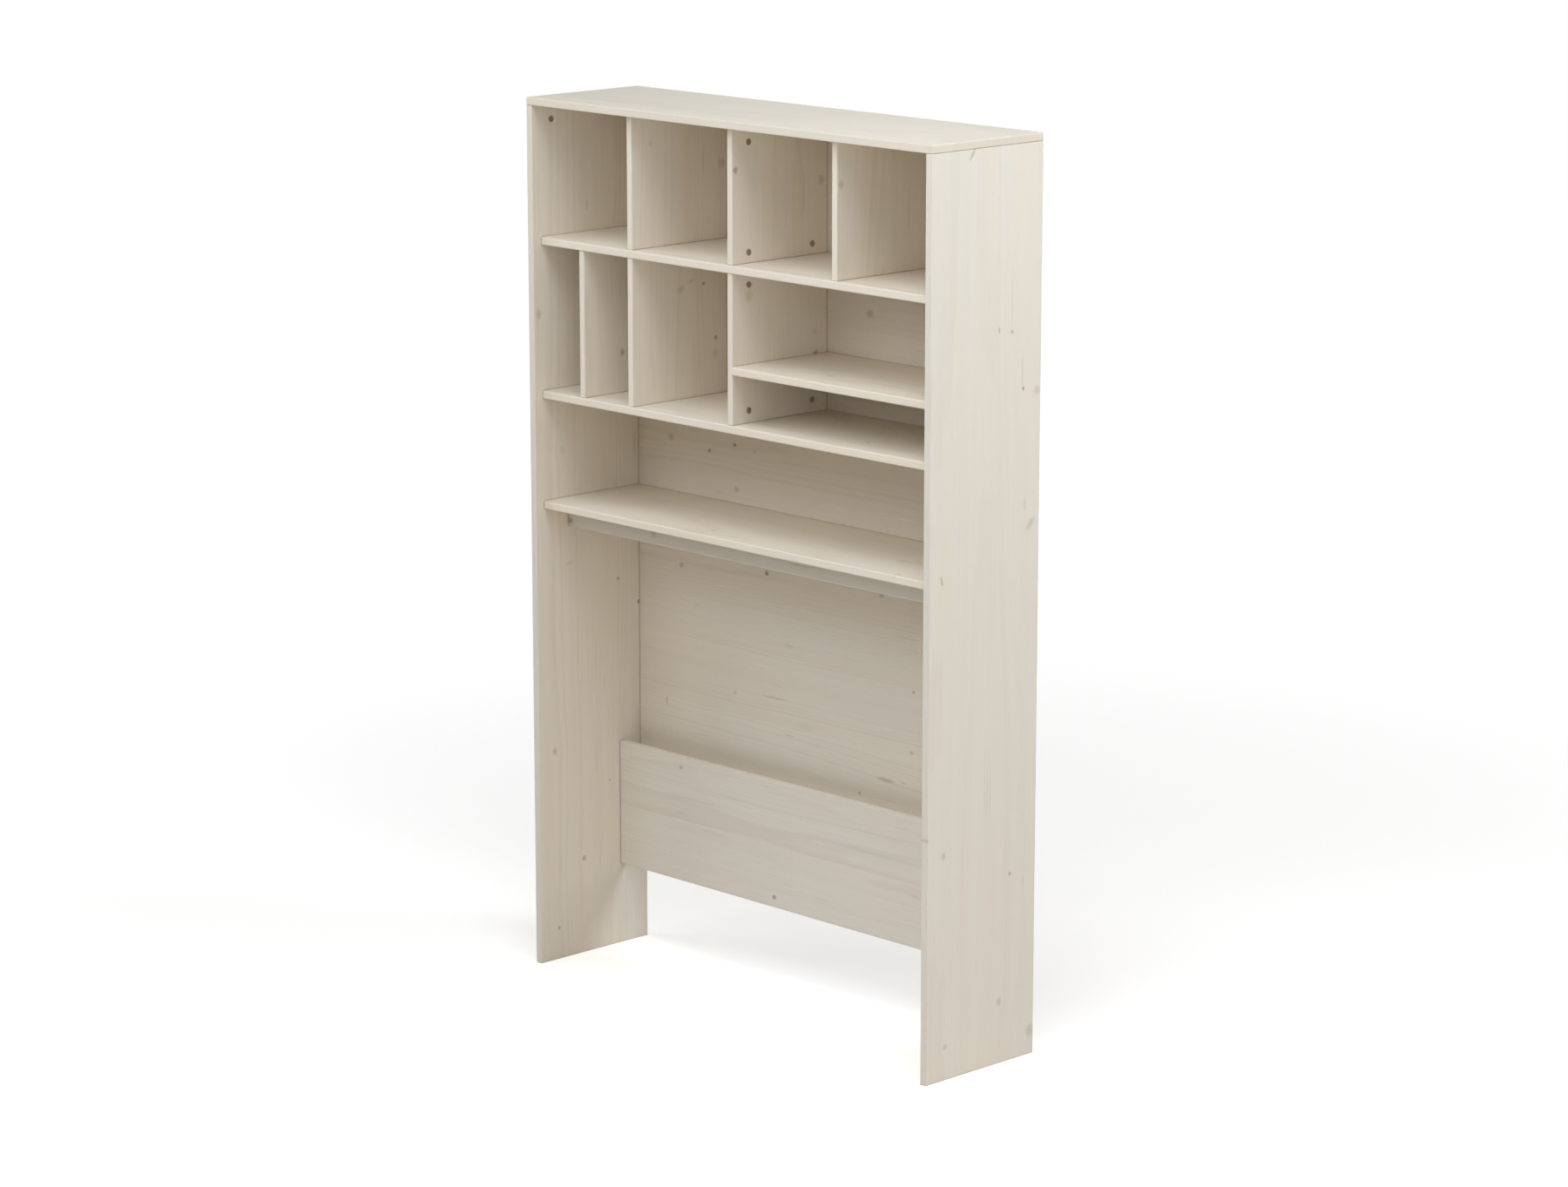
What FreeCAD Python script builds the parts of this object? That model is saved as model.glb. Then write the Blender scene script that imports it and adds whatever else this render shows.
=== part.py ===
import FreeCAD, Part
import os

# Desk hutch in whitewashed pine: two tall sides, a top, shelves, dividers and their fasteners.
# Millimetres. The origin is the middle of the footprint on the floor: +X to the right as seen
# from the front, +Y towards the back, +Z up.

Vector = FreeCAD.Vector

# Driving dimensions
overall_width = 1260
overall_depth = 335
overall_height = 2010
board = 18                      # thickness of the sides, top, shelves, rail and cross board
divider_board = 16
back_board = 8
edge_round = 2.5                # softened edge of the loose boards
end_round = 1                   # sawn ends, and edges that meet another board, are only broken
shelf_edge_round = 3
shelf_setback = 24              # from the front plane to the shelves' front edges
divider_setback = 27
back_panel_depth = 315          # from the front plane to the back panels' front faces

# Clear heights, from the top panel down
upper_row_height = 297
middle_row_height = 332
half_shelf_bay_height = 111     # under the half shelf
long_bay_height = 236
rail_height = 50
rail_setback = 96
cross_board_bottom = 193
cross_board_height = 296
cross_board_setback = 250
back_panel_bottom = 420

# Divider centres, from the middle of the hutch
upper_divider_x = {"upper_left_divider": -320, "upper_centre_divider": 0, "upper_right_divider": 320}
middle_divider_x = {"middle_outer_divider": -480, "middle_left_divider": -320, "middle_centre_divider": 0}

# Grooves that hold the back panels
side_groove = 7
shelf_groove = 6
groove_play = 0.5               # on each face of the panel
groove_end_gap = 0.5
lower_shelf_rear_setback = 2

# Cam locks and their bolts
fit_gap = 0.1                   # radial gap round cams, bolts and dowels
cam_radius = 7.5
cam_below_axis = 4.5            # how far a cam reaches past its bolt's axis
cam_sunk = 0.8                  # the cam's face lies this far below the board's
cam_pocket_radius = 4.1         # room for the bolt's head inside the cam
cam_slot_start = -40            # the hook slot's first angle, with the bolt at 0
cam_mouth_angle = 95            # where the bolt's head goes in
cam_cross_length = 7.2          # the driver's cross on the cam's face
cam_cross_width = 1.6
cam_cross_depth = 2
cam_ring_radii = (5.0, 6.9)     # the sunk ring round the cross
cam_ring_depth = 1.2
bolt_thread_length = 11
bolt_thread_radius = 2.5
bolt_collar_radius = 3.7
bolt_collar_length = 2
bolt_shank_radius = 3.2
bolt_neck_radius = 2.2
bolt_head_radius = 3.2
bolt_head_half = 1.8
bolt_bore_radius = 4
head_play = 0.3                 # between the bolt's head or neck and the cam
bevel = 0.5

# Dowels and screws
dowel_radius = 4
dowel_length = 30
dowel_chamfer = 1
end_dowel_depth = 10            # into a side panel, the top or the lower shelf
divider_dowel_depth = 8
screw_length = 25
screw_head_radius = 3.5
screw_head_height = 2.3
screw_rim = 0.4
screw_core_radius = 1.2
screw_neck_radius = 1.6
screw_point_length = 3
screw_cross_length = 4.4
screw_cross_width = 0.9
screw_cross_depth = 1.6
screw_gap = 0.2

# Where the fasteners go
fastener_row_depth = 173        # middle of the fastener rows, from the front plane
fastener_pitch = 192
side_cam_depths = (58, 282)     # from the front plane, in the tops of the sides
cam_reach = 34                  # from a board's end to its cam's centre
upper_divider_bottom_reach = 24
middle_divider_reach = 28
cross_board_cam_inset = 48
rail_fastener_offset = 11
rail_dowel_pitch = 300
screw_pitch = 240

# Derived places
half_width = overall_width / 2
inner = half_width - board
front = -overall_depth / 2
rear = overall_depth / 2
shelf_front = front + shelf_setback
divider_front = front + divider_setback
back_face = front + back_panel_depth
side_top = overall_height - board
upper_shelf_z = side_top - upper_row_height - board
middle_shelf_z = upper_shelf_z - middle_row_height - board
half_shelf_z = middle_shelf_z + board + half_shelf_bay_height
lower_shelf_z = middle_shelf_z - long_bay_height - board
rail_z = lower_shelf_z - rail_height
cross_board_front = front + cross_board_setback
rail_front = front + rail_setback
fastener_rows = [front + fastener_row_depth - fastener_pitch / 2,
                 front + fastener_row_depth + fastener_pitch / 2]
fastener_middle = front + fastener_row_depth

# What each divider's ends meet: the board, the height, and which way the divider lies from it
upper_divider_ends = (("top_panel", side_top, -1), ("upper_shelf", upper_shelf_z + board, 1))
middle_divider_ends = (("upper_shelf", upper_shelf_z, -1), ("middle_shelf", middle_shelf_z + board, 1))

X = Vector(1, 0, 0)
Y = Vector(0, 1, 0)
Z = Vector(0, 0, 1)

boards = {}
fasteners = {"divider_cam_locks": [], "board_cam_locks": [], "cam_bolts": [], "double_cam_bolts": [],
             "wooden_dowels": [], "back_panel_screws": []}


def block(x_range, y_range, z_range):
    """A box from three (low, high) ranges."""
    size = [high - low for low, high in (x_range, y_range, z_range)]
    return Part.makeBox(*size, Vector(x_range[0], y_range[0], z_range[0]))


def round_front(shape, radius, direction):
    """Round the front edges that run along direction."""
    front_y = shape.BoundBox.YMin
    chosen = []
    for edge in shape.Edges:
        run = edge.Vertexes[1].Point - edge.Vertexes[0].Point
        run.normalize()
        if abs(run.dot(direction)) > 0.9 and abs(edge.CenterOfMass.y - front_y) < 0.01:
            chosen.append(edge)
    return shape.makeFillet(radius, chosen)


def break_edges(shape, planes):
    """Break the edges that lie in these planes, each given as an axis (0, 1 or 2) and a place on it."""
    chosen = []
    for edge in shape.Edges:
        for axis, place in planes:
            if all(abs(vertex.Point[axis] - place) < 0.01 for vertex in edge.Vertexes):
                chosen.append(edge)
                break
    return shape.makeFillet(end_round, chosen)


def cut_from(name, cutter):
    boards[name] = boards[name].cut(cutter)


def placed(shape, origin, x_axis, z_axis):
    """A copy of shape with its own X and Z turned to the given directions, at origin."""
    copy = shape.copy()
    rotation = FreeCAD.Rotation(x_axis, z_axis.cross(x_axis), z_axis, "ZXY")
    copy.Placement = FreeCAD.Placement(origin, rotation)
    return copy


def turned(profile):
    """Revolve a list of (distance along X, radius) points about the X axis into a solid."""
    points = [Vector(profile[0][0], 0, 0)]
    points += [Vector(along, radius, 0) for along, radius in profile]
    points += [Vector(profile[-1][0], 0, 0), points[0]]
    face = Part.Face(Part.makePolygon(points))
    return face.revolve(Vector(0, 0, 0), X, 360)


def rod(radius, start, direction, length):
    return Part.makeCylinder(radius, length, start, direction)


# ---------------------------------------------------------------- boards

def make_sides():
    for name, low_x in (("left_side_panel", -half_width), ("right_side_panel", inner)):
        side = block((low_x, low_x + board), (front, rear), (0, side_top))
        upright_edges = [edge for edge in side.Edges if edge.BoundBox.ZLength > board]
        side = side.makeFillet(edge_round, upright_edges)
        boards[name] = break_edges(side, ((2, 0), (2, side_top)))


def make_top():
    panel = block((-half_width, half_width), (front, rear), (side_top, overall_height))
    boards["top_panel"] = panel.makeFillet(edge_round, panel.Edges)


def make_shelf(name, x_range, z_low, rear_y):
    shelf = block(x_range, (shelf_front, rear_y), (z_low, z_low + board))
    shelf = round_front(shelf, shelf_edge_round, X)
    boards[name] = break_edges(shelf, ((0, x_range[0]), (0, x_range[1]), (1, rear_y)))


def make_shelves():
    make_shelf("upper_shelf", (-inner, inner), upper_shelf_z, back_face)
    make_shelf("middle_shelf", (-inner, inner), middle_shelf_z, back_face)
    make_shelf("half_shelf", (divider_board / 2, inner), half_shelf_z, back_face)
    make_shelf("lower_shelf", (-inner, inner), lower_shelf_z, rear - lower_shelf_rear_setback)


def make_dividers():
    rows = ((upper_divider_x, upper_shelf_z + board, side_top),
            (middle_divider_x, middle_shelf_z + board, upper_shelf_z))
    for centres, z_low, z_high in rows:
        for name, x in centres.items():
            x_range = (x - divider_board / 2, x + divider_board / 2)
            divider = block(x_range, (divider_front, back_face), (z_low, z_high))
            divider = round_front(divider, edge_round, Z)
            boards[name] = break_edges(divider, ((1, back_face), (2, z_low), (2, z_high)))


def make_rail():
    rail = block((-inner, inner), (rail_front, rail_front + board), (rail_z, lower_shelf_z))
    bottom_edges = [edge for edge in rail.Edges
                    if abs(edge.CenterOfMass.z - rail_z) < 0.01 and abs(edge.CenterOfMass.x) < 1]
    rail = rail.makeFillet(edge_round, bottom_edges)
    boards["lower_shelf_rail"] = break_edges(rail, ((0, -inner), (0, inner), (2, lower_shelf_z)))


def make_cross_board():
    z_range = (cross_board_bottom, cross_board_bottom + cross_board_height)
    panel = block((-inner, inner), (cross_board_front, cross_board_front + board), z_range)
    long_edges = [edge for edge in panel.Edges if abs(edge.CenterOfMass.x) < 1]
    panel = panel.makeFillet(edge_round, long_edges)
    boards["lower_cross_board"] = break_edges(panel, ((0, -inner), (0, inner)))


def make_back_panels():
    """Two thin panels in grooves: one above the lower shelf, one below it."""
    half = inner + side_groove - groove_end_gap
    y_range = (back_face, back_face + back_board)
    lower_shelf_top = lower_shelf_z + board
    upper_z = (lower_shelf_top - shelf_groove, side_top + side_groove - groove_end_gap)
    lower_z = (back_panel_bottom, lower_shelf_z + shelf_groove - groove_end_gap)
    boards["upper_back_panel"] = block((-half, half), y_range, upper_z)
    boards["lower_back_panel"] = block((-half, half), y_range, lower_z)


def cut_grooves():
    y_range = (back_face - groove_play, back_face + back_board + groove_play)
    deep = inner + side_groove
    cut_from("left_side_panel", block((-deep, -inner), y_range, (back_panel_bottom, side_top)))
    cut_from("right_side_panel", block((inner, deep), y_range, (back_panel_bottom, side_top)))
    cut_from("top_panel", block((-deep, deep), y_range, (side_top, side_top + side_groove)))
    shelf_top = lower_shelf_z + board
    cut_from("lower_shelf", block((-inner, inner), y_range, (shelf_top - shelf_groove, shelf_top)))
    cut_from("lower_shelf", block((-inner, inner), y_range, (lower_shelf_z, lower_shelf_z + shelf_groove)))


# ---------------------------------------------------------------- fasteners

def cross(length, width, x_range):
    """Two crossed bars in the YZ plane, for a driver's recess."""
    long_range = (-length / 2, length / 2)
    short_range = (-width / 2, width / 2)
    return block(x_range, long_range, short_range).fuse(block(x_range, short_range, long_range))


def cam_lock(thickness):
    """A cam for a board of this thickness. Its axis is Z, and its bolt lies along X, on the +X side.

    The hook slot lets the bolt's head in through a mouth, and lets the cam turn round its neck.
    """
    radius = cam_radius - fit_gap
    face_z = thickness / 2 - cam_sunk
    low_z = -cam_below_axis + fit_gap
    cam = rod(radius, Vector(0, 0, low_z), Z, face_z - low_z)
    head_half = bolt_head_radius + head_play
    neck_half = bolt_neck_radius + head_play
    cam = cam.cut(rod(cam_pocket_radius, Vector(0, 0, -head_half), Z, 2 * head_half))
    slot_sweep = cam_mouth_angle - cam_slot_start
    slot = Part.makeCylinder(cam_radius, 2 * neck_half, Vector(0, 0, -neck_half), Z, slot_sweep)
    slot.rotate(Vector(0, 0, 0), Z, cam_slot_start)
    cam = cam.cut(slot)
    mouth = block((0, cam_radius), (-head_half, head_half), (-head_half, head_half))
    mouth.rotate(Vector(0, 0, 0), Z, cam_mouth_angle)
    cam = cam.cut(mouth)
    recess = cross(cam_cross_length, cam_cross_width, (0, cam_cross_depth))
    cam = cam.cut(placed(recess, Vector(0, 0, face_z), -Z, X))
    ring_low = Vector(0, 0, face_z - cam_ring_depth)
    ring_inner, ring_outer = (rod(size, ring_low, Z, cam_ring_depth) for size in cam_ring_radii)
    return cam.cut(ring_outer.cut(ring_inner))


def bolt_end(reach):
    """Profile points of one end of a bolt, from its collar to its head's far end past reach."""
    neck_start = reach - cam_radius - bevel
    return [(bolt_collar_length, bolt_shank_radius),
            (neck_start, bolt_shank_radius),
            (neck_start + 2 * bevel, bolt_neck_radius),
            (reach - bolt_head_half, bolt_neck_radius),
            (reach - bolt_head_half, bolt_head_radius - bevel),
            (reach - bolt_head_half + bevel, bolt_head_radius),
            (reach + bolt_head_half - bevel, bolt_head_radius),
            (reach + bolt_head_half, bolt_head_radius - bevel)]


def single_bolt(reach):
    """A bolt with its thread along -X and its head at reach along +X."""
    profile = [(-bolt_thread_length, bolt_thread_radius - 2 * bevel),
               (-bolt_thread_length + 2 * bevel, bolt_thread_radius),
               (0, bolt_thread_radius),
               (0, bolt_collar_radius),
               (bolt_collar_length, bolt_collar_radius)]
    return turned(profile + bolt_end(reach))


def double_bolt(reach_up, reach_down):
    """A bolt with a head at each end and a plain shank through a board between X = 0 and -board."""
    down = [(-board - along, radius) for along, radius in bolt_end(reach_down)]
    return turned(list(reversed(down)) + bolt_end(reach_up))


def dowel(depth):
    """A dowel with chamfered ends, sunk by depth along -X."""
    radius = dowel_radius - fit_gap
    low = -depth + fit_gap
    high = dowel_length - depth - fit_gap
    return turned([(low, radius - dowel_chamfer),
                   (low + dowel_chamfer, radius),
                   (high - dowel_chamfer, radius),
                   (high, radius - dowel_chamfer)])


def countersunk_screw():
    """A screw with its head's top at X = 0 and its point along -X, with a cross recess."""
    screw = turned([(-screw_length, screw_gap),
                    (-screw_length + screw_point_length, screw_core_radius),
                    (-screw_head_height - bevel, screw_core_radius),
                    (-screw_head_height, screw_neck_radius),
                    (-screw_rim, screw_head_radius),
                    (0, screw_head_radius)])
    return screw.cut(cross(screw_cross_length, screw_cross_width, (-screw_cross_depth, 0)))


def countersunk_hole():
    """The hole for that screw through a back panel, with a gap all round."""
    neck = screw_neck_radius + screw_gap
    head = screw_head_radius + screw_gap
    cone_end = -screw_head_height - screw_gap
    return turned([(-back_board, neck), (cone_end, neck), (-screw_rim - screw_gap, head), (0, head)])


def bore_for_cam(name, thickness, start, along, face, reach):
    """Drill the bolt's bore and the cam's pocket in a board, and add the cam."""
    centre = start + along * reach
    cut_from(name, rod(bolt_bore_radius, start, along, reach))
    floor = centre - face * cam_below_axis
    cut_from(name, rod(cam_radius, floor, face, thickness / 2 + cam_below_axis))
    group = "divider_cam_locks" if thickness == divider_board else "board_cam_locks"
    fasteners[group].append(placed(cam_lock(thickness), centre, -along, face))


def cam_joint(name, thickness, mate, start, along, face, reach):
    """Join a board to its mate: a cam in the board, and a bolt screwed into the mate at start."""
    bore_for_cam(name, thickness, start, along, face, reach)
    pilot = rod(bolt_thread_radius + fit_gap, start, -along, bolt_thread_length + fit_gap)
    cut_from(mate, pilot)
    fasteners["cam_bolts"].append(placed(single_bolt(reach), start, along, face))


def dowel_joint(name, mate, start, along, depth=end_dowel_depth):
    """A dowel sunk by depth in the mate, with the rest of its length along the board."""
    side = Y if abs(along.dot(Y)) < 0.5 else Z
    cut_from(mate, rod(dowel_radius, start, -along, depth))
    cut_from(name, rod(dowel_radius, start, along, dowel_length - depth))
    fasteners["wooden_dowels"].append(placed(dowel(depth), start, along, side))


def join_sides_to_top():
    middle = half_width - board / 2
    for name, side in (("left_side_panel", -1), ("right_side_panel", 1)):
        for depth in side_cam_depths:
            start = Vector(side * middle, front + depth, side_top)
            cam_joint(name, board, "top_panel", start, -Z, X * -side, cam_reach)
        start = Vector(side * middle, fastener_middle, side_top)
        dowel_joint(name, "top_panel", start, -Z)


def join_shelf_end(name, mate, x, side, z_low):
    """Two cams and a dowel at one end of a shelf. The cams open on its underside."""
    z = z_low + board / 2
    for y in fastener_rows:
        cam_joint(name, board, mate, Vector(x, y, z), X * -side, -Z, cam_reach)
    dowel_joint(name, mate, Vector(x, fastener_middle, z), X * -side)


def join_shelves():
    for name, z_low in (("upper_shelf", upper_shelf_z), ("middle_shelf", middle_shelf_z),
                        ("lower_shelf", lower_shelf_z)):
        join_shelf_end(name, "left_side_panel", -inner, -1, z_low)
        join_shelf_end(name, "right_side_panel", inner, 1, z_low)
    join_shelf_end("half_shelf", "middle_centre_divider", divider_board / 2, -1, half_shelf_z)
    join_shelf_end("half_shelf", "right_side_panel", inner, 1, half_shelf_z)


def join_centre_dividers():
    """The two centre dividers carry cams, which pull the top, both shelves and themselves together."""
    upper = "upper_centre_divider"
    middle = "middle_centre_divider"
    for y in fastener_rows:
        cam_joint(upper, divider_board, "top_panel", Vector(0, y, side_top), -Z, X, cam_reach)
        cam_joint(middle, divider_board, "middle_shelf", Vector(0, y, middle_shelf_z + board), Z, X,
                  middle_divider_reach)
        above = Vector(0, y, upper_shelf_z + board)
        below = Vector(0, y, upper_shelf_z)
        cut_from("upper_shelf", rod(bolt_shank_radius + fit_gap, below, Z, board))
        bore_for_cam(upper, divider_board, above, Z, X, upper_divider_bottom_reach)
        bore_for_cam(middle, divider_board, below, -Z, X, middle_divider_reach)
        bolt = double_bolt(upper_divider_bottom_reach, middle_divider_reach)
        fasteners["double_cam_bolts"].append(placed(bolt, above, Z, X))
    for name, ends in ((upper, upper_divider_ends), (middle, middle_divider_ends)):
        for mate, z, up in ends:
            dowel_joint(name, mate, Vector(0, fastener_middle, z), Z * up, divider_dowel_depth)


def join_plain_dividers():
    """The other dividers are held by two dowels at each end."""
    for centres, ends in ((upper_divider_x, upper_divider_ends), (middle_divider_x, middle_divider_ends)):
        for name, x in centres.items():
            if x == 0:
                continue
            for mate, z, up in ends:
                for y in fastener_rows:
                    dowel_joint(name, mate, Vector(x, y, z), Z * up, divider_dowel_depth)


def join_rail():
    y = rail_front + board / 2
    middle_z = rail_z + rail_height / 2
    for mate, side in (("left_side_panel", -1), ("right_side_panel", 1)):
        cam_start = Vector(side * inner, y, middle_z - rail_fastener_offset)
        cam_joint("lower_shelf_rail", board, mate, cam_start, X * -side, Y, cam_reach)
        dowel_start = Vector(side * inner, y, middle_z + rail_fastener_offset)
        dowel_joint("lower_shelf_rail", mate, dowel_start, X * -side)
    for step in (-1.5, -0.5, 0.5, 1.5):
        start = Vector(step * rail_dowel_pitch, y, lower_shelf_z)
        dowel_joint("lower_shelf_rail", "lower_shelf", start, -Z)


def join_cross_board():
    y = cross_board_front + board / 2
    top = cross_board_bottom + cross_board_height
    for mate, side in (("left_side_panel", -1), ("right_side_panel", 1)):
        for z in (cross_board_bottom + cross_board_cam_inset, top - cross_board_cam_inset):
            cam_joint("lower_cross_board", board, mate, Vector(side * inner, y, z), X * -side, Y, cam_reach)
        start = Vector(side * inner, y, (cross_board_bottom + top) / 2)
        dowel_joint("lower_cross_board", mate, start, X * -side)


def screw_back_panel():
    """Screws through the upper back panel into the rear edges of the upper and middle shelves."""
    outer = back_face + back_board
    for name, z_low in (("upper_shelf", upper_shelf_z), ("middle_shelf", middle_shelf_z)):
        for step in range(-2, 3):
            head = Vector(step * screw_pitch, outer, z_low + board / 2)
            cut_from("upper_back_panel", placed(countersunk_hole(), head, Y, Z))
            pilot_length = screw_length - back_board + screw_gap
            cut_from(name, rod(screw_core_radius + fit_gap, head - Y * back_board, -Y, pilot_length))
            fasteners["back_panel_screws"].append(placed(countersunk_screw(), head, Y, Z))


# ---------------------------------------------------------------- assembly

def build():
    make_sides()
    make_top()
    make_shelves()
    make_dividers()
    make_rail()
    make_cross_board()
    make_back_panels()
    cut_grooves()
    join_sides_to_top()
    join_shelves()
    join_centre_dividers()
    join_plain_dividers()
    join_rail()
    join_cross_board()
    screw_back_panel()


def export():
    os.makedirs("parts", exist_ok=True)
    for name, shape in boards.items():
        shape.exportStep("parts/" + name + ".step")
    for name, solids in fasteners.items():
        Part.makeCompound(solids).exportStep("parts/" + name + ".step")
        print(name, len(solids))


build()
export()
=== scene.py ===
import math
import bpy
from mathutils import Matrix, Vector


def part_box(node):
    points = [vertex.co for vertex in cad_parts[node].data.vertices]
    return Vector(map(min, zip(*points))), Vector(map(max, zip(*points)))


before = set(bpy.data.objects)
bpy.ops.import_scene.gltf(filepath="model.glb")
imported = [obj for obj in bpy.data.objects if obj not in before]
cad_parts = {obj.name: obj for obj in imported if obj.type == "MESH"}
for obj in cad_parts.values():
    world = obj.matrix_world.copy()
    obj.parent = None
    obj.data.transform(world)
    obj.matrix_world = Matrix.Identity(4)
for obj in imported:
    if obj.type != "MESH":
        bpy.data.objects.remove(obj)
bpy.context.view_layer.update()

# The looks of the desk hutch: whitewashed pine boards, zinc cam locks, steel bolts and screws, beech
# dowels, a pale floor, soft studio light and the camera. Everything is in metres, in the CAD frame:
# +X to the right as seen from the front, +Y towards the back, +Z up, floor at Z = 0.

# Camera
camera_azimuth = 45.9           # degrees to the right of straight on
camera_elevation = 12.43
camera_distance = 10.168
camera_lens = 105.8             # millimetres
camera_sensor = 36.0            # its width, in millimetres
camera_target = Vector((0.0114, 0.0117, 0.9503))

# Soft studio light, in panels of two sizes. Each line gives the azimuth and elevation seen from
# the panels' aim point, in degrees, and the power in watts
light_colour = (0.85, 0.91, 1.0)
wide_distance = 4.5
wide_size = 2.2
wide_aim = Vector((0, 0, 1.2))
wide_lights = {
    "front_light": (-20, 30, 39),
    "left_light": (-60, 30, 60),
    "right_light": (115, 30, 103),
    "high_front_light": (45, 60, 89),
    "high_rear_light": (150, 60, 14),
    "rear_left_light": (-140, 40, 22),
}
close_distance = 2.6
close_size = 1.4
close_aim = Vector((0.5, -0.1, 1.5))
close_lights = {
    "close_front_light": (0, 40, 12),
    "close_corner_light": (35, 10, 10),
    "close_right_light": (70, 10, 8.5),
}

# Floor and backdrop
plain_white = (1, 1, 1, 1)
floor_radius = 30.0
floor_colour = (0.93, 0.87, 0.79, 1)   # neutral white under the cool light
floor_white = (0.42, 1.0)       # white that the camera sees on top of it, near the hutch and far off
floor_reach = (1.5, 6.0)        # radii between which it rises
backdrop_strength = 1.0

# Whitewashed pine
whitewash = (0.850, 0.760, 0.622, 1)
warm_whitewash = (0.847, 0.744, 0.602, 1)
cool_whitewash = (0.842, 0.762, 0.638, 1)
late_wood = (0.653, 0.534, 0.384, 1)    # the dark part of each growth ring
pore_colour = (0.50, 0.42, 0.31, 1)
raw_pine = (0.66, 0.49, 0.29, 1)
raw_late_wood = (0.47, 0.29, 0.13, 1)
knot_heart = (0.27, 0.17, 0.06, 1)
stave_width = 0.112
stave_shift = 0.0371            # how much further the staves are shifted in each next board
raw_depth = (0.0012, 0.0018)    # deeper than this inside a board's box, as in a bore, the wood is bare
edge_reach = 0.0030             # width of the rubbed band along a board's edges
lit_edge_tint = (1.075, 1.05, 1.02)     # painted light: warmer and lighter on the long edges of shelves and dividers, where their rounded edges catch it
joint_dust_and_shade_colour = (0.25, 0.16, 0.07, 1)    # painted shade in joints, inner corners and bores, with some dust and thin whitewash where two boards meet
joint_reach = 0.004             # how far from a joint it reaches
joint_samples = 8
joint_openness = (0.95, 0.25)   # 1 is free of neighbours: where it starts, and where it is darkest
joint_shade_darkness = 0.55
face_turn = (0.6, 0.9)          # how squarely a face looks along an axis, from not to fully facing it
pine_specular = 0.35

# Growth rings lie round a tree's centre line, another one for each stave. It runs along the grain, on
# the minus side of the frame's origin, so boards far from the origin have nearly straight rings
pith_depth = (0.025, 0.090)     # how far it lies on that side, measured through the board
pith_side = 0.20                # spread of its place to either side of the stave's middle
pith_wander = 0.03              # how much it wanders along the board
side_turns = 0.8                # how often it wanders sideways and through the board, per metre
depth_turns = 0.6
depth_offset = 31.0             # keeps the two wanders apart
ring_pitch = 0.0032
ring_ripple = 0.0016
ring_crowding = 2.5             # how unevenly the rings are spaced, in rings
crowding_turns = 90.0           # how often their spacing changes, per metre
ring_rise = (0.30, 0.86)        # where late wood starts and is full, in parts of a ring
ring_fall = (1.0, 0.92)         # where it ends, and where it starts to end
ring_unevenness = 2.5           # above 1, few rings are strong and most are faint
ring_strength = (0.9, 0.1)      # range and least

# Steps that give every board and every stave a number, and so a pattern, of its own
board_step = 17.0
stave_step = 3.7

# Noise drawn out along the grain: turns per metre along the board, across it and through it. A last
# number of 1 leaves the third place to the board's or the stave's own number
ripple_stretch = (7.0, 60.0, 1.0)
fibre_stretch = (5.0, 620.0, 620.0)
pore_stretch = (42.0, 1100.0, 1100.0)
band_stretch = (0.7, 55.0, 1.0)
line_stretch = (11.0, 240.0, 240.0)
coat_stretch = (3.0, 18.0, 1.0)
hue_stretch = (0.9, 14.0, 1.0)

# Where a pattern starts to show and is full, on its noise from 0 to 1
pore_range = (0.67, 0.76)
dark_line_range = (0.68, 0.80)
light_line_range = (0.32, 0.20)
hue_range = (0.35, 0.65)
rub_range = (0.3, 0.7)

# How strongly each pattern shows. In pairs, the first number times the pattern plus the second
hue_share = 0.5                 # the rest of the whitewash's colour is the same everywhere
stave_shade = (0.025, -0.012)
band_shade = (0.08, -0.04)
fibre_shade = (0.06, -0.03)
line_shade = 0.08
ring_shade = (0.32, 0.06)       # the pattern is the thinness of the whitewash's coat
pore_shade = 0.14
rubbed_shade = 0.07
end_grain_shade = 0.12
pine_roughness = (0.12, 0.46)
fibre_roughness = 0.08
knot_smoothness = 0.04
ring_relief = 0.6
fibre_relief = 0.5
pore_relief = 0.8
relief_strength = 0.35
relief_height = 0.0002

# Knots. Reaches are in parts of the knot's own size, from where a thing starts to where it is full
knot_stretch = 1.2              # length over width
knot_ragged = (1.3, 0.35)       # its outline's noise, times the first plus the second
knot_ragged_turns = 170.0       # per metre
knot_heart_reach = (1.6, 0.1)
knot_rim_inside = (0.5, 0.85)
knot_rim_outside = (1.25, 0.9)
knot_rim_darkness = 0.2
knot_bend = 0.75                # how strongly the grain bends round a knot
knot_bend_reach = (5.0, 0.3)

# Beech and metals. Scales are in turns per metre. Each metal has its dull and its bright colour, its
# roughness, its grain's scale and its grain's relief
pale_beech = (0.70, 0.50, 0.32, 1)
red_beech = (0.58, 0.38, 0.22, 1)
beech_fleck = (0.36, 0.20, 0.10, 1)
beech_tone_scale = 60.0
beech_fleck_scale = 900.0
beech_fleck_range = (0.55, 0.75)
beech_fleck_shade = 0.5
beech_roughness = (0.2, 0.5)
beech_relief = 0.3
cast_zinc = ((0.46, 0.40, 0.33, 1), (0.62, 0.55, 0.47, 1), 0.36, 1500.0, 0.3)
plated_steel = ((0.50, 0.50, 0.49, 1), (0.66, 0.66, 0.65, 1), 0.18, 2500.0, 0.15)
metal_mottle_scale = 420.0
metal_mottle_range = (0.35, 0.65)
metal_mottle_roughness = 0.25
metal_relief_height = 0.0001

# Grain axes: along the grain, across the board's width, through its thickness
UPRIGHT_SIDE = ("Z", "Y", "X")
LEVEL = ("X", "Y", "Z")
ON_EDGE = ("X", "Z", "Y")

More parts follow.
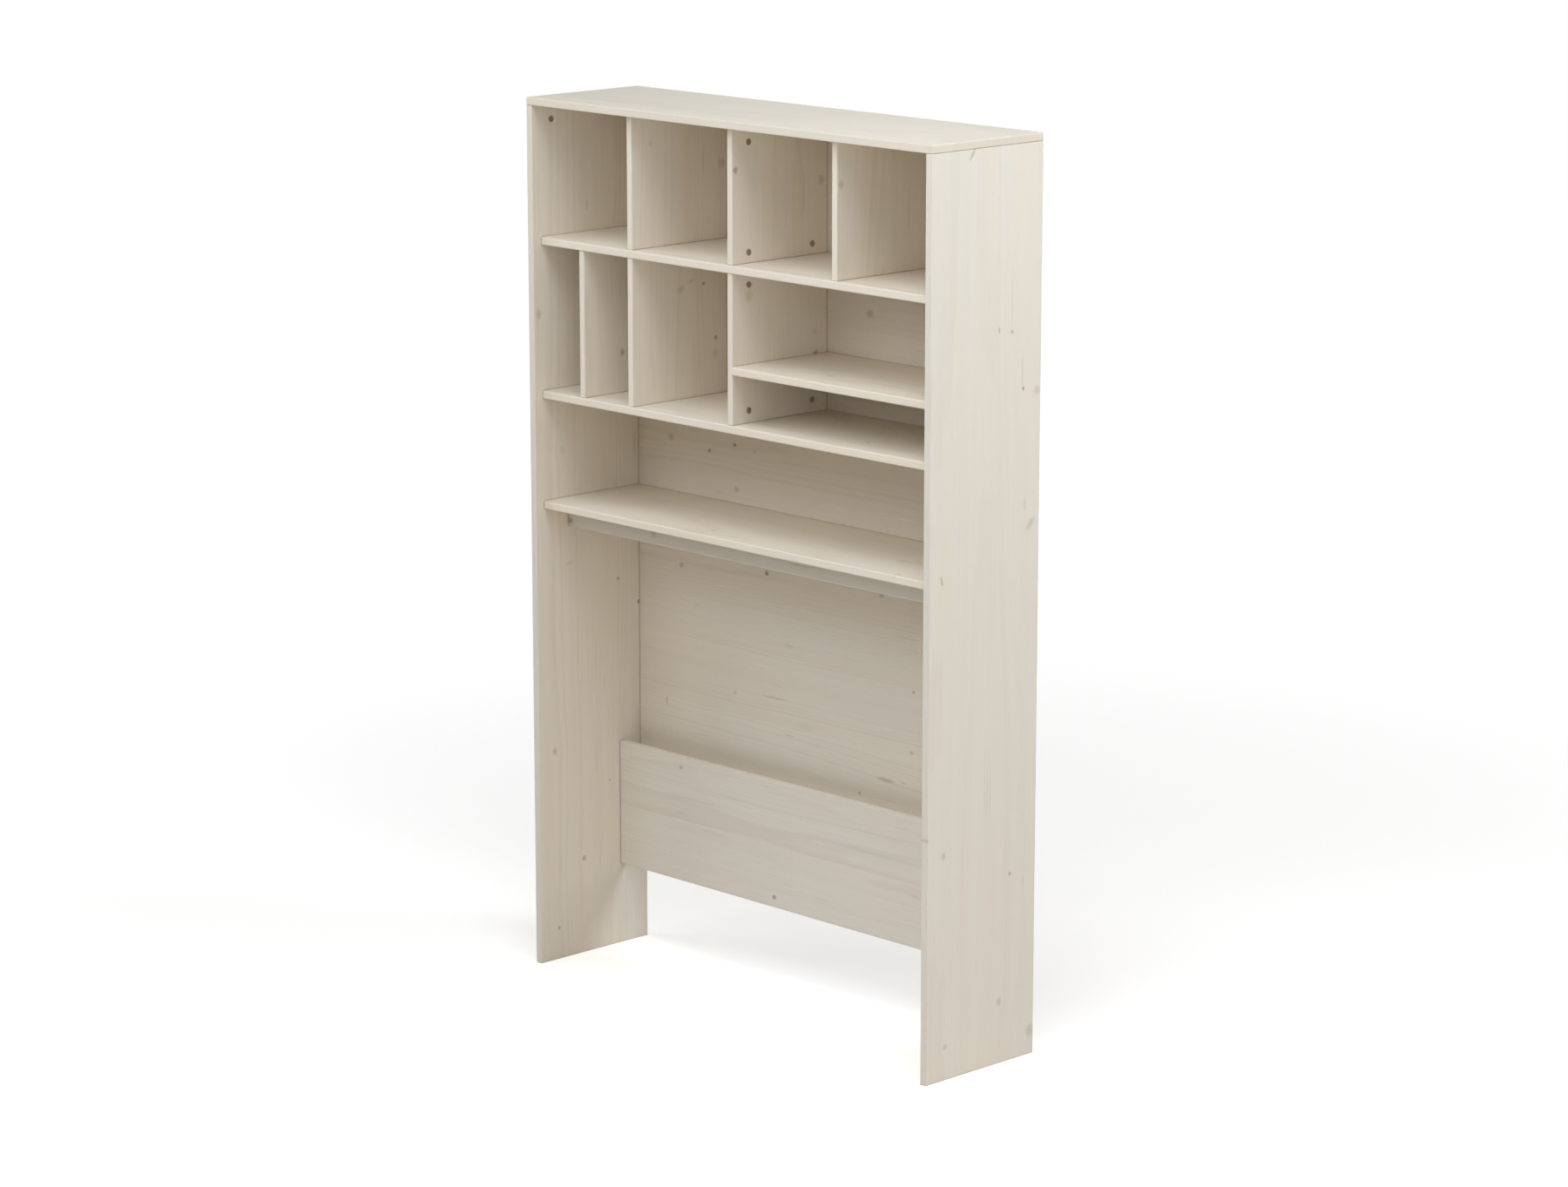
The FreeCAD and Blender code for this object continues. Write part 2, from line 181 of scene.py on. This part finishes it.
board_grain = {
    "left_side_panel": UPRIGHT_SIDE,
    "right_side_panel": UPRIGHT_SIDE,
    "top_panel": LEVEL,
    "upper_shelf": LEVEL,
    "middle_shelf": LEVEL,
    "half_shelf": LEVEL,
    "lower_shelf": LEVEL,
    "lower_shelf_rail": ON_EDGE,
    "lower_cross_board": ON_EDGE,
    "upper_left_divider": UPRIGHT_SIDE,
    "upper_centre_divider": UPRIGHT_SIDE,
    "upper_right_divider": UPRIGHT_SIDE,
    "middle_outer_divider": UPRIGHT_SIDE,
    "middle_left_divider": UPRIGHT_SIDE,
    "middle_centre_divider": UPRIGHT_SIDE,
    "upper_back_panel": ON_EDGE,
    "lower_back_panel": ON_EDGE,
}

# Boards that differ from the rest: a tint over their whitewash, and how strongly their grain shows. The
# rail's darker tint is painted shade under the lower shelf
board_looks = {
    "top_panel": ((0.985, 0.97, 0.94), 1.0),
    "right_side_panel": ((1.01, 1.01, 1.02), 0.7),
    # painted shade: the rail sits in the shade under the lower shelf
    "lower_shelf_rail": ((0.89, 0.91, 0.93), 1.0),
    "lower_cross_board": ((0.99, 1.01, 1.04), 1.1),
}
plain_look = ((1.0, 1.0, 1.0), 1.0)

# Knots: place along the grain, place across it, radius (millimetres) and darkness (0 to 1)
board_knots = {
    "left_side_panel": (
        (1520, -152, 8, 0.3), (1200, -87, 7, 0.15), (877, 81, 3.5, 0.7), (812, 145, 4, 0.8),
        (499, -119, 6, 0.35), (227, -32, 5, 0.5), (75, -111, 3.5, 0.6), (401, 50, 3, 0.35)),
    "right_side_panel": (
        (1599, 77, 3.5, 0.5), (1475, 113, 3.5, 0.7), (1466, 155, 8, 0.25), (498, -118, 6, 0.3),
        (420, 88, 3.5, 0.55), (139, 56, 7, 0.3), (75, -110, 5, 0.3), (53, 155, 10, 0.25),
        (541, -167, 3, 0.25)),
    "upper_shelf": ((160, 40, 6, 0.25),),
    "middle_shelf": ((350, -68, 5, 0.35),),
    "half_shelf": ((235, -68, 6, 0.3),),
    "lower_shelf": ((-101, -96, 5, 0.3), (502, -130, 6, 0.2)),
    "lower_shelf_rail": ((-604, 1037, 6, 0.6), (-322, 1047, 6, 0.3)),
    "lower_cross_board": ((-402, 464, 4, 0.45), (-93, 218, 4.5, 0.75)),
    "upper_left_divider": ((1865, 132, 9, 0.3), (1925, -84, 5, 0.15)),
    "upper_centre_divider": ((1900, -130, 6, 0.6), (1856, 128, 8, 0.3)),
    "upper_right_divider": ((1898, -128, 7, 0.3),),
    "middle_outer_divider": ((1436, -27, 6, 0.5),),
    "middle_left_divider": (
        (1599, 75, 3.5, 0.7), (1474, 112, 3.5, 0.85), (1438, 111, 8, 0.18)),
    "middle_centre_divider": ((1625, -90, 10, 0.22), (1474, 112, 6, 0.65), (1524, 110, 5, 0.18)),
    "upper_back_panel": (
        (-500, 1216, 7, 0.35), (-289, 1226, 4.5, 0.75), (-372, 1202, 4, 0.7), (-283, 1124, 6, 0.35),
        (-225, 1219, 5, 0.22), (140, 1574, 8, 0.38)),
    "lower_back_panel": (
        (-467, 921, 6, 0.4), (-185, 945, 5, 0.85), (180, 952, 6, 0.35), (-290, 650, 4, 0.3),
        (114, 490, 3.5, 0.55), (280, 750, 3.5, 0.45), (275, 611, 4.5, 0.35), (315, 846, 8, 0.3)),
}

# Spike knots and resin streaks: place along the grain, place across it, length, width (millimetres),
# lean out of the grain (degrees) and darkness
board_streaks = {
    "left_side_panel": (
        (935, -68, 22, 4, 85, 0.25), (1755, -5, 24, 5, 0, 0.25), (1715, 75, 20, 4, 0, 0.2),
        (1190, 135, 60, 6, 0, 0.25), (700, 10, 90, 2.5, 0, 0.15), (635, 36, 45, 3, 0, 0.2),
        (455, 10, 60, 3, 0, 0.15), (220, 18, 60, 3, 0, 0.15)),
    "right_side_panel": (
        (1982, -47, 28, 8, 32, 0.36), (1606, 38, 14, 5, -10, 0.35), (1094, -129, 22, 6, -12, 0.4),
        (1224, 121, 24, 6, 0, 0.18), (1181, 139, 30, 13, 40, 0.24), (1670, 77, 130, 5, 0, 0.12),
        (1512, 110, 70, 5, 0, 0.16),
        (640, 6, 170, 2.5, 0, 0.14), (620, 14, 150, 2.5, 0, 0.12), (610, 23, 140, 2.5, 0, 0.12),
        (394, 129, 22, 3, 0, 0.2)),
    "middle_shelf": ((-170, 60, 90, 8, 0, 0.15),),
    "lower_shelf_rail": ((150, 1046, 60, 4, 0, 0.25),),
    "lower_cross_board": (
        (-375, 393, 150, 7, 0, 0.12), (235, 383, 270, 7, 0, 0.10), (350, 311, 24, 5, 0, 0.18),
        (-300, 328, 60, 10, 0, 0.08)),
    "upper_left_divider": ((1875, 75, 60, 6, 0, 0.18),),
    "upper_centre_divider": ((1840, 75, 90, 6, 0, 0.18),),
    "upper_right_divider": ((1830, 75, 90, 6, 0, 0.18),),
    "middle_left_divider": ((1593, 5, 24, 14, 65, 0.24), (1608, 37, 18, 8, 70, 0.22)),
    "lower_back_panel": (
        (-160, 660, 75, 3, 0, 0.35), (195, 535, 46, 8, 0, 0.4), (-520, 591, 24, 6, 90, 0.28),
        (-112, 789, 34, 4, 0, 0.2), (-112, 580, 26, 4, 0, 0.2), (250, 538, 20, 4, 0, 0.25),
        (-60, 610, 50, 14, 0, 0.08), (250, 868, 60, 5, 0, 0.12), (-418, 834, 16, 8, 0, 0.12)),
}


class Tree:
    """Short calls that add and join the nodes of one node tree."""

    def __init__(self, tree):
        self.tree = tree

    def feed(self, socket, value):
        if value is None:
            return
        if isinstance(value, bpy.types.NodeSocket):
            self.tree.links.new(value, socket)
        else:
            socket.default_value = value

    def add(self, kind, inputs=None, **settings):
        node = self.tree.nodes.new(kind)
        for name, value in settings.items():
            setattr(node, name, value)
        for name, value in (inputs or {}).items():
            self.feed(node.inputs[name], value)
        return node

    def math(self, operation, first, second=None, third=None, clamp=False):
        node = self.add("ShaderNodeMath", operation=operation, use_clamp=clamp)
        for socket, value in zip(node.inputs, (first, second, third)):
            self.feed(socket, value)
        return node.outputs[0]

    def vector(self, x=0.0, y=0.0, z=0.0):
        return self.add("ShaderNodeCombineXYZ", {"X": x, "Y": y, "Z": z}).outputs[0]

    def stretched(self, values, factors):
        """A vector of these values, each times its factor."""
        return self.vector(*(self.math("MULTIPLY", value, factor) for value, factor in zip(values, factors)))

    def split(self, vector):
        return self.add("ShaderNodeSeparateXYZ", {"Vector": vector}).outputs

    def vector_math(self, operation, first, second=None):
        node = self.add("ShaderNodeVectorMath", operation=operation)
        for socket, value in zip(node.inputs, (first, second)):
            self.feed(socket, value)
        return node.outputs["Value"] if operation in ("LENGTH", "DOT_PRODUCT") else node.outputs[0]

    def noise(self, vector, scale=1.0, detail=2.0, roughness=0.5):
        inputs = {"Vector": vector, "Scale": scale, "Detail": detail, "Roughness": roughness}
        return self.add("ShaderNodeTexNoise", inputs).outputs["Fac"]

    def ramp(self, value, low, high, low_out=0.0, high_out=1.0, smooth=True):
        kind = "SMOOTHSTEP" if smooth else "LINEAR"
        inputs = {"Value": value, "From Min": low, "From Max": high, "To Min": low_out, "To Max": high_out}
        return self.add("ShaderNodeMapRange", inputs, interpolation_type=kind, clamp=True).outputs["Result"]

    def mix(self, factor, first, second, blend="MIX"):
        node = self.add("ShaderNodeMix", data_type="RGBA", blend_type=blend)
        for socket, value in zip((node.inputs[0], node.inputs[6], node.inputs[7]), (factor, first, second)):
            self.feed(socket, value)
        return node.outputs[2]


def new_group(name, inputs, outputs):
    """A node group with these sockets. Returns its Tree, its inputs by name and its output node."""
    group = bpy.data.node_groups.new(name, "ShaderNodeTree")
    for direction, sockets in (("INPUT", inputs), ("OUTPUT", outputs)):
        for socket_name, kind in sockets.items():
            group.interface.new_socket(socket_name, in_out=direction, socket_type="NodeSocket" + kind)
    tree = Tree(group)
    return tree, tree.add("NodeGroupInput").outputs, tree.add("NodeGroupOutput")


def make_knot_group():
    """One knot or streak: a soft dark spot that may lean. Shift carries how far the grain bends round it."""
    tree, given, result = new_group(
        "pine_knot",
        {"Grain": "Vector", "Wobble": "Float", "Along": "Float", "Across": "Float", "Length": "Float",
         "Width": "Float", "Lean": "Float", "Darkness": "Float", "Bend": "Float", "Shift": "Float",
         "Dark": "Float"},
        {"Shift": "Float", "Dark": "Float"})
    u, v = tree.split(given["Grain"])[:2]
    from_u = tree.math("SUBTRACT", u, given["Along"])
    from_v = tree.math("SUBTRACT", v, given["Across"])
    turn = {"Vector": tree.vector(from_u, from_v), "Angle": given["Lean"]}
    turned = tree.add("ShaderNodeVectorRotate", turn, rotation_type="Z_AXIS", invert=True)
    lengthwise, crosswise = tree.split(turned.outputs["Vector"])[:2]
    away = tree.vector_math("LENGTH", tree.vector(
        tree.math("DIVIDE", lengthwise, given["Length"]), tree.math("DIVIDE", crosswise, given["Width"])))
    away = tree.math("MULTIPLY", away, given["Wobble"])
    heart = tree.ramp(away, *knot_heart_reach)
    rim = tree.math("MULTIPLY", tree.ramp(away, *knot_rim_inside),
                    tree.ramp(away, *knot_rim_outside, 0.0, knot_rim_darkness))
    spot = tree.math("MULTIPLY", tree.math("ADD", heart, rim, clamp=True), given["Darkness"])
    tree.feed(result.inputs["Dark"], tree.math("MAXIMUM", spot, given["Dark"]))
    bend = tree.math("MULTIPLY", from_v, tree.ramp(away, *knot_bend_reach))
    bend = tree.math("MULTIPLY", bend, given["Bend"])
    tree.feed(result.inputs["Shift"], tree.math("SUBTRACT", given["Shift"], bend))
    return tree.tree


def make_pine_group():
    """Whitewashed pine. Grain is the place in the frame: along the grain, across the board, through it."""
    tree, given, result = new_group(
        "whitewashed_pine",
        {"Grain": "Vector", "Seed": "Float", "Shift": "Float", "Dark": "Float", "Depth": "Float",
         "Edge": "Float", "End Grain": "Float", "Lit Edge": "Float", "Tint": "Vector",
         "Contrast": "Float", "Joint Shade": "Float"},
        {"Color": "Color", "Roughness": "Float", "Height": "Float"})
    u, v, w = tree.split(given["Grain"])
    seed = given["Seed"]
    v = tree.math("ADD", v, given["Shift"])

    # Staves: each is cut from another tree, so its tone and its rings differ
    shifted = tree.math("ADD", v, tree.math("MULTIPLY", seed, stave_shift))
    across = tree.math("DIVIDE", shifted, stave_width)
    stave = tree.math("FLOOR", across)
    stave_key = tree.math("ADD", tree.math("MULTIPLY", seed, board_step), stave)
    stave_noise = tree.add("ShaderNodeTexWhiteNoise", {"W": stave_key}, noise_dimensions="1D")
    tone, side, deep = tree.split(stave_noise.outputs["Color"])
    in_stave = tree.math("SUBTRACT", tree.math("SUBTRACT", across, stave), 0.5)
    in_stave = tree.math("MULTIPLY", in_stave, stave_width)

    # Growth rings: distance from the tree's centre line, which wanders a little along the board
    key = tree.math("MULTIPLY", stave_key, stave_step)
    wander = tree.noise(tree.vector(tree.math("MULTIPLY", u, side_turns), key))
    dip = tree.noise(tree.vector(tree.math("MULTIPLY", u, depth_turns), tree.math("ADD", key, depth_offset)))
    side_place = tree.math("MULTIPLY", tree.math("SUBTRACT", side, 0.5), pith_side)
    from_side = tree.math("ADD", tree.math("ADD", in_stave, side_place),
                          tree.math("MULTIPLY", tree.math("SUBTRACT", wander, 0.5), pith_wander))
    centre_depth = tree.ramp(deep, 0.0, 1.0, *pith_depth, smooth=False)
    from_depth = tree.math("ADD", tree.math("ADD", w, centre_depth),
                           tree.math("MULTIPLY", tree.math("SUBTRACT", dip, 0.5), pith_wander))
    distance = tree.vector_math("LENGTH", tree.vector(from_side, from_depth))
    ripple = tree.noise(tree.stretched((u, v, key), ripple_stretch))
    distance = tree.math("ADD", distance, tree.math("MULTIPLY", ripple, ring_ripple))
    spacing_place = tree.vector(tree.math("MULTIPLY", distance, crowding_turns), key)
    spacing = tree.noise(spacing_place, detail=1.0)
    crowding = tree.math("MULTIPLY", spacing, ring_crowding)
    rings = tree.math("ADD", tree.math("DIVIDE", distance, ring_pitch), crowding)
    ring = tree.math("FRACT", rings)
    late = tree.math("MULTIPLY", tree.ramp(ring, *ring_rise), tree.ramp(ring, *ring_fall))
    ring_key = tree.math("ADD", tree.math("FLOOR", rings), key)
    ring_noise = tree.add("ShaderNodeTexWhiteNoise", {"W": ring_key}, noise_dimensions="1D")
    strength = tree.math("POWER", ring_noise.outputs["Value"], ring_unevenness)
    late = tree.math("MULTIPLY", late, tree.math("MULTIPLY_ADD", strength, *ring_strength))

    # Fibres, pores, long bands, short brushed lines and the uneven coat of whitewash
    fibre = tree.noise(tree.stretched((u, v, w), fibre_stretch), detail=3.0, roughness=0.6)
    pore = tree.ramp(tree.noise(tree.stretched((u, v, w), pore_stretch), detail=1.0), *pore_range)
    band = tree.noise(tree.stretched((u, v, key), band_stretch), detail=4.0, roughness=0.65)
    line = tree.noise(tree.stretched((u, v, w), line_stretch), detail=1.0)
    lines = tree.math("SUBTRACT", tree.ramp(line, *dark_line_range), tree.ramp(line, *light_line_range))
    thinness = tree.noise(tree.stretched((u, v, key), coat_stretch), detail=3.0, roughness=0.55)
    hue = tree.noise(tree.stretched((u, v, seed), hue_stretch))

    painted = tree.mix(tree.ramp(hue, *hue_range), warm_whitewash, cool_whitewash)
    painted = tree.mix(1 - hue_share, painted, whitewash)
    uneven = tree.math("MULTIPLY_ADD", tone, *stave_shade)
    uneven = tree.math("ADD", uneven, tree.math("MULTIPLY_ADD", band, *band_shade))
    uneven = tree.math("ADD", uneven, tree.math("MULTIPLY_ADD", fibre, *fibre_shade))
    uneven = tree.math("SUBTRACT", uneven, tree.math("MULTIPLY", lines, line_shade))
    light = tree.math("MULTIPLY_ADD", uneven, given["Contrast"], 1.0)
    painted = tree.mix(1.0, painted, tree.vector(light, light, light), "MULTIPLY")
    painted = tree.mix(1.0, painted, given["Tint"], "MULTIPLY")
    showing = tree.math("MULTIPLY", tree.math("MULTIPLY_ADD", thinness, *ring_shade), given["Contrast"])
    painted = tree.mix(tree.math("MULTIPLY", late, showing), painted, late_wood)
    painted = tree.mix(tree.math("MULTIPLY", pore, pore_shade), painted, pore_colour)

    # Painted light on the long edges of shelves and dividers, made lighter and warmer; whitewash rubbed thin
    # at their corners, and drunk up by the end grain
    lit_edge_colour = tree.mix(1.0, painted, tree.vector(*lit_edge_tint), "MULTIPLY")
    painted = tree.mix(given["Lit Edge"], painted, lit_edge_colour)
    rub = tree.math("MULTIPLY", given["Edge"], tree.ramp(thinness, *rub_range, 0.0, rubbed_shade))
    painted = tree.mix(rub, painted, late_wood)
    painted = tree.mix(tree.math("MULTIPLY", given["End Grain"], end_grain_shade), painted, late_wood)

    # Bare wood inside bores and grooves
    bare = tree.mix(late, raw_pine, raw_late_wood)
    colour = tree.mix(tree.ramp(given["Depth"], *raw_depth), painted, bare)
    colour = tree.mix(given["Dark"], colour, knot_heart)
    # Painted shade, with some dust, where boards meet, in inner corners and in bores
    colour = tree.mix(given["Joint Shade"], colour, joint_dust_and_shade_colour)
    tree.feed(result.inputs["Color"], colour)

    rough = tree.math("MULTIPLY_ADD", thinness, *pine_roughness)
    rough = tree.math("ADD", rough, tree.math("MULTIPLY", fibre, fibre_roughness))
    rough = tree.math("SUBTRACT", rough, tree.math("MULTIPLY", given["Dark"], knot_smoothness))
    tree.feed(result.inputs["Roughness"], rough)
    height = tree.math("ADD", tree.math("MULTIPLY", late, ring_relief),
                       tree.math("MULTIPLY", fibre, fibre_relief))
    height = tree.math("SUBTRACT", height, tree.math("MULTIPLY", pore, pore_relief))
    tree.feed(result.inputs["Height"], height)
    return tree.tree


def make_board_place_group():
    """How deep a point lies in a board's box, and how close it is to one of the box's edges."""
    tree, given, result = new_group(
        "board_place",
        {"Place": "Vector", "Low": "Vector", "High": "Vector"},
        {"Depth": "Float", "Edge": "Float"})
    from_low = tree.vector_math("SUBTRACT", given["Place"], given["Low"])
    from_high = tree.vector_math("SUBTRACT", given["High"], given["Place"])
    x, y, z = tree.split(tree.vector_math("MINIMUM", from_low, from_high))
    nearest = tree.math("MINIMUM", tree.math("MINIMUM", x, y), z)
    farthest = tree.math("MAXIMUM", tree.math("MAXIMUM", x, y), z)
    total = tree.math("ADD", tree.math("ADD", x, y), z)
    middle = tree.math("SUBTRACT", tree.math("SUBTRACT", total, nearest), farthest)
    tree.feed(result.inputs["Depth"], nearest)
    tree.feed(result.inputs["Edge"], tree.ramp(middle, edge_reach, 0.0))
    return tree.tree


def new_material(name):
    """A material with one Principled shader. Returns the material, its Tree and the shader."""
    material = bpy.data.materials.new(name)
    material.use_nodes = True
    tree = Tree(material.node_tree)
    return material, tree, material.node_tree.nodes["Principled BSDF"]


def dark_spots(node_name):
    """A board's knots and streaks: place along and across, half length, half width, lean, darkness, bend."""
    knots = [(along, across, knot_stretch * radius, radius, 0, darkness, knot_bend)
             for along, across, radius, darkness in board_knots.get(node_name, ())]
    streaks = [(along, across, length / 2, width / 2, lean, darkness, 0)
               for along, across, length, width, lean, darkness in board_streaks.get(node_name, ())]
    return knots + streaks


def pine(node_name, seed, groups):
    """The pine of one board: its own grain axes, knots and staves."""
    material, tree, shader = new_material("pine_" + node_name)
    low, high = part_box(node_name)
    coordinates = tree.add("ShaderNodeTexCoord").outputs
    axes = tree.split(coordinates["Object"])
    along, across, through = (axes[axis] for axis in board_grain[node_name])
    grain = tree.vector(along, across, through)
    wobble = tree.math("MULTIPLY_ADD", tree.noise(grain, knot_ragged_turns), *knot_ragged)
    shift, dark = 0.0, 0.0
    for spot_along, spot_across, length, width, lean, darkness, bend in dark_spots(node_name):
        inputs = {"Grain": grain, "Wobble": wobble, "Along": spot_along / 1000, "Across": spot_across / 1000,
                  "Length": length / 1000, "Width": width / 1000, "Lean": math.radians(lean),
                  "Darkness": darkness, "Bend": bend, "Shift": shift, "Dark": dark}
        spot = tree.add("ShaderNodeGroup", node_tree=groups["knot"])
        for name, value in inputs.items():
            tree.feed(spot.inputs[name], value)
        shift, dark = spot.outputs["Shift"], spot.outputs["Dark"]
    place = tree.add("ShaderNodeGroup", node_tree=groups["place"])
    for name, value in (("Place", coordinates["Object"]), ("Low", low), ("High", high)):
        tree.feed(place.inputs[name], value)
    normal_axes = tree.split(coordinates["Normal"])
    end_grain = tree.math("ABSOLUTE", normal_axes[board_grain[node_name][0]])
    long_edge = tree.math("ABSOLUTE", normal_axes[board_grain[node_name][1]])
    # Painted light: the long edges of shelves and dividers are made lighter and warmer
    lit_long_edges = float(node_name.endswith(("shelf", "divider")))
    wood = tree.add("ShaderNodeGroup", node_tree=groups["pine"])
    tint, contrast = board_looks.get(node_name, plain_look)
    # Painted shade: ambient occlusion darkens the colour in joints, inner corners, bores and next to the
    # floor, with some dust in the joints
    openness = tree.add("ShaderNodeAmbientOcclusion", {"Distance": joint_reach},
                        samples=joint_samples)
    inputs = {"Grain": grain, "Seed": float(seed), "Shift": shift, "Dark": dark,
              "Depth": place.outputs["Depth"], "Edge": place.outputs["Edge"],
              "End Grain": tree.ramp(end_grain, *face_turn), "Tint": tint, "Contrast": contrast,
              "Lit Edge": tree.ramp(long_edge, *face_turn, 0.0, lit_long_edges),
              "Joint Shade": tree.ramp(openness.outputs["AO"], *joint_openness, 0.0, joint_shade_darkness, smooth=False)}
    for name, value in inputs.items():
        tree.feed(wood.inputs[name], value)
    relief = {"Strength": relief_strength, "Distance": relief_height, "Height": wood.outputs["Height"]}
    bump = tree.add("ShaderNodeBump", relief)
    tree.feed(shader.inputs["Base Color"], wood.outputs["Color"])
    tree.feed(shader.inputs["Roughness"], wood.outputs["Roughness"])
    tree.feed(shader.inputs["Normal"], bump.outputs["Normal"])
    shader.inputs["Specular IOR Level"].default_value = pine_specular
    return material


def beech():
    """Turned beech: pale red-brown with short fine flecks."""
    material, tree, shader = new_material("turned_beech")
    place = tree.add("ShaderNodeTexCoord").outputs["Object"]
    fleck = tree.ramp(tree.noise(place, beech_fleck_scale), *beech_fleck_range)
    tone = tree.noise(place, beech_tone_scale, detail=3.0)
    wood = tree.mix(tone, red_beech, pale_beech)
    flecked = tree.mix(tree.math("MULTIPLY", fleck, beech_fleck_shade), wood, beech_fleck)
    tree.feed(shader.inputs["Base Color"], flecked)
    tree.feed(shader.inputs["Roughness"], tree.math("MULTIPLY_ADD", tone, *beech_roughness))
    relief = {"Strength": beech_relief, "Distance": relief_height, "Height": fleck}
    bump = tree.add("ShaderNodeBump", relief)
    tree.feed(shader.inputs["Normal"], bump.outputs["Normal"])
    return material


def metal(name, dull, bright, roughness, grain_scale, grain_relief):
    """Plated or cast metal with a mottled surface."""
    material, tree, shader = new_material(name)
    place = tree.add("ShaderNodeTexCoord").outputs["Object"]
    mottle = tree.noise(place, metal_mottle_scale, detail=4.0, roughness=0.6)
    grain = tree.noise(place, grain_scale)
    tone = tree.mix(tree.ramp(mottle, *metal_mottle_range), dull, bright)
    tree.feed(shader.inputs["Base Color"], tone)
    rough = tree.math("MULTIPLY_ADD", mottle, metal_mottle_roughness, roughness)
    tree.feed(shader.inputs["Roughness"], rough)
    relief = {"Strength": grain_relief, "Distance": metal_relief_height, "Height": grain}
    bump = tree.add("ShaderNodeBump", relief)
    tree.feed(shader.inputs["Normal"], bump.outputs["Normal"])
    shader.inputs["Metallic"].default_value = 1.0
    return material


def cover(node_name, material):
    """Give every material slot of a CAD node this material."""
    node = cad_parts[node_name]
    if not node.material_slots:
        node.data.materials.append(material)
    for slot in node.material_slots:
        slot.material = material


def finish_boards():
    groups = {"knot": make_knot_group(), "pine": make_pine_group(), "place": make_board_place_group()}
    for seed, name in enumerate(board_grain, start=1):
        cover(name, pine(name, seed, groups))


def finish_fasteners():
    zinc = metal("cast_zinc", *cast_zinc)
    steel = metal("plated_steel", *plated_steel)
    for name in ("divider_cam_locks", "board_cam_locks"):
        cover(name, zinc)
    for name in ("cam_bolts", "double_cam_bolts", "back_panel_screws"):
        cover(name, steel)
    cover("wooden_dowels", beech())


def make_floor():
    """A pale matt floor. The camera sees it whiter than it is, up to the backdrop's white far off."""
    mesh = bpy.data.meshes.new("studio_floor")
    corners = [(x * floor_radius, y * floor_radius, 0) for x, y in ((-1, -1), (1, -1), (1, 1), (-1, 1))]
    mesh.from_pydata(corners, [], [(0, 1, 2, 3)])
    floor = bpy.data.objects.new("studio_floor", mesh)
    bpy.context.scene.collection.objects.link(floor)
    material, tree, shader = new_material("studio_floor")
    away = tree.vector_math("LENGTH", tree.add("ShaderNodeTexCoord").outputs["Object"])
    seen = tree.add("ShaderNodeLightPath").outputs["Is Camera Ray"]
    white = tree.ramp(away, *floor_reach, *floor_white)
    shader.inputs["Base Color"].default_value = floor_colour
    shader.inputs["Roughness"].default_value = 1.0
    shader.inputs["Specular IOR Level"].default_value = 0.0
    shader.inputs["Emission Color"].default_value = plain_white
    tree.feed(shader.inputs["Emission Strength"], tree.math("MULTIPLY", white, seen))
    mesh.materials.append(material)


def make_backdrop():
    """A white surround, seen only by the camera: the studio lights do the lighting."""
    world = bpy.data.worlds.new("backdrop")
    bpy.context.scene.world = world
    world.use_nodes = True
    tree = Tree(world.node_tree)
    seen = tree.add("ShaderNodeLightPath").outputs["Is Camera Ray"]
    background = world.node_tree.nodes["Background"]
    background.inputs["Color"].default_value = plain_white
    tree.feed(background.inputs["Strength"], tree.math("MULTIPLY", seen, backdrop_strength))


def direction_to(azimuth, elevation):
    """Unit vector from the hutch towards this direction; azimuth 0 is straight in front."""
    a, e = math.radians(azimuth), math.radians(elevation)
    return Vector((math.sin(a) * math.cos(e), -math.cos(a) * math.cos(e), math.sin(e)))


def make_lights(lights, aim, distance, size):
    for name, (azimuth, elevation, power) in lights.items():
        light = bpy.data.lights.new(name, "AREA")
        light.shape = "SQUARE"
        light.size = size
        light.energy = power
        light.color = light_colour
        lamp = bpy.data.objects.new(name, light)
        lamp.visible_camera = False
        back = direction_to(azimuth, elevation)
        lamp.location = aim + back * distance
        lamp.rotation_euler = (-back).to_track_quat("-Z", "Y").to_euler()
        bpy.context.scene.collection.objects.link(lamp)


def make_camera():
    camera = bpy.data.cameras.new("camera")
    camera.lens = camera_lens
    camera.sensor_width = camera_sensor
    viewer = bpy.data.objects.new("camera", camera)
    back = direction_to(camera_azimuth, camera_elevation)
    viewer.location = camera_target + back * camera_distance
    viewer.rotation_euler = (-back).to_track_quat("-Z", "Y").to_euler()
    bpy.context.scene.collection.objects.link(viewer)
    bpy.context.scene.camera = viewer


finish_boards()
finish_fasteners()
make_floor()
make_backdrop()
make_lights(wide_lights, wide_aim, wide_distance, wide_size)
make_lights(close_lights, close_aim, close_distance, close_size)
make_camera()
bpy.context.scene.view_settings.view_transform = "Standard"
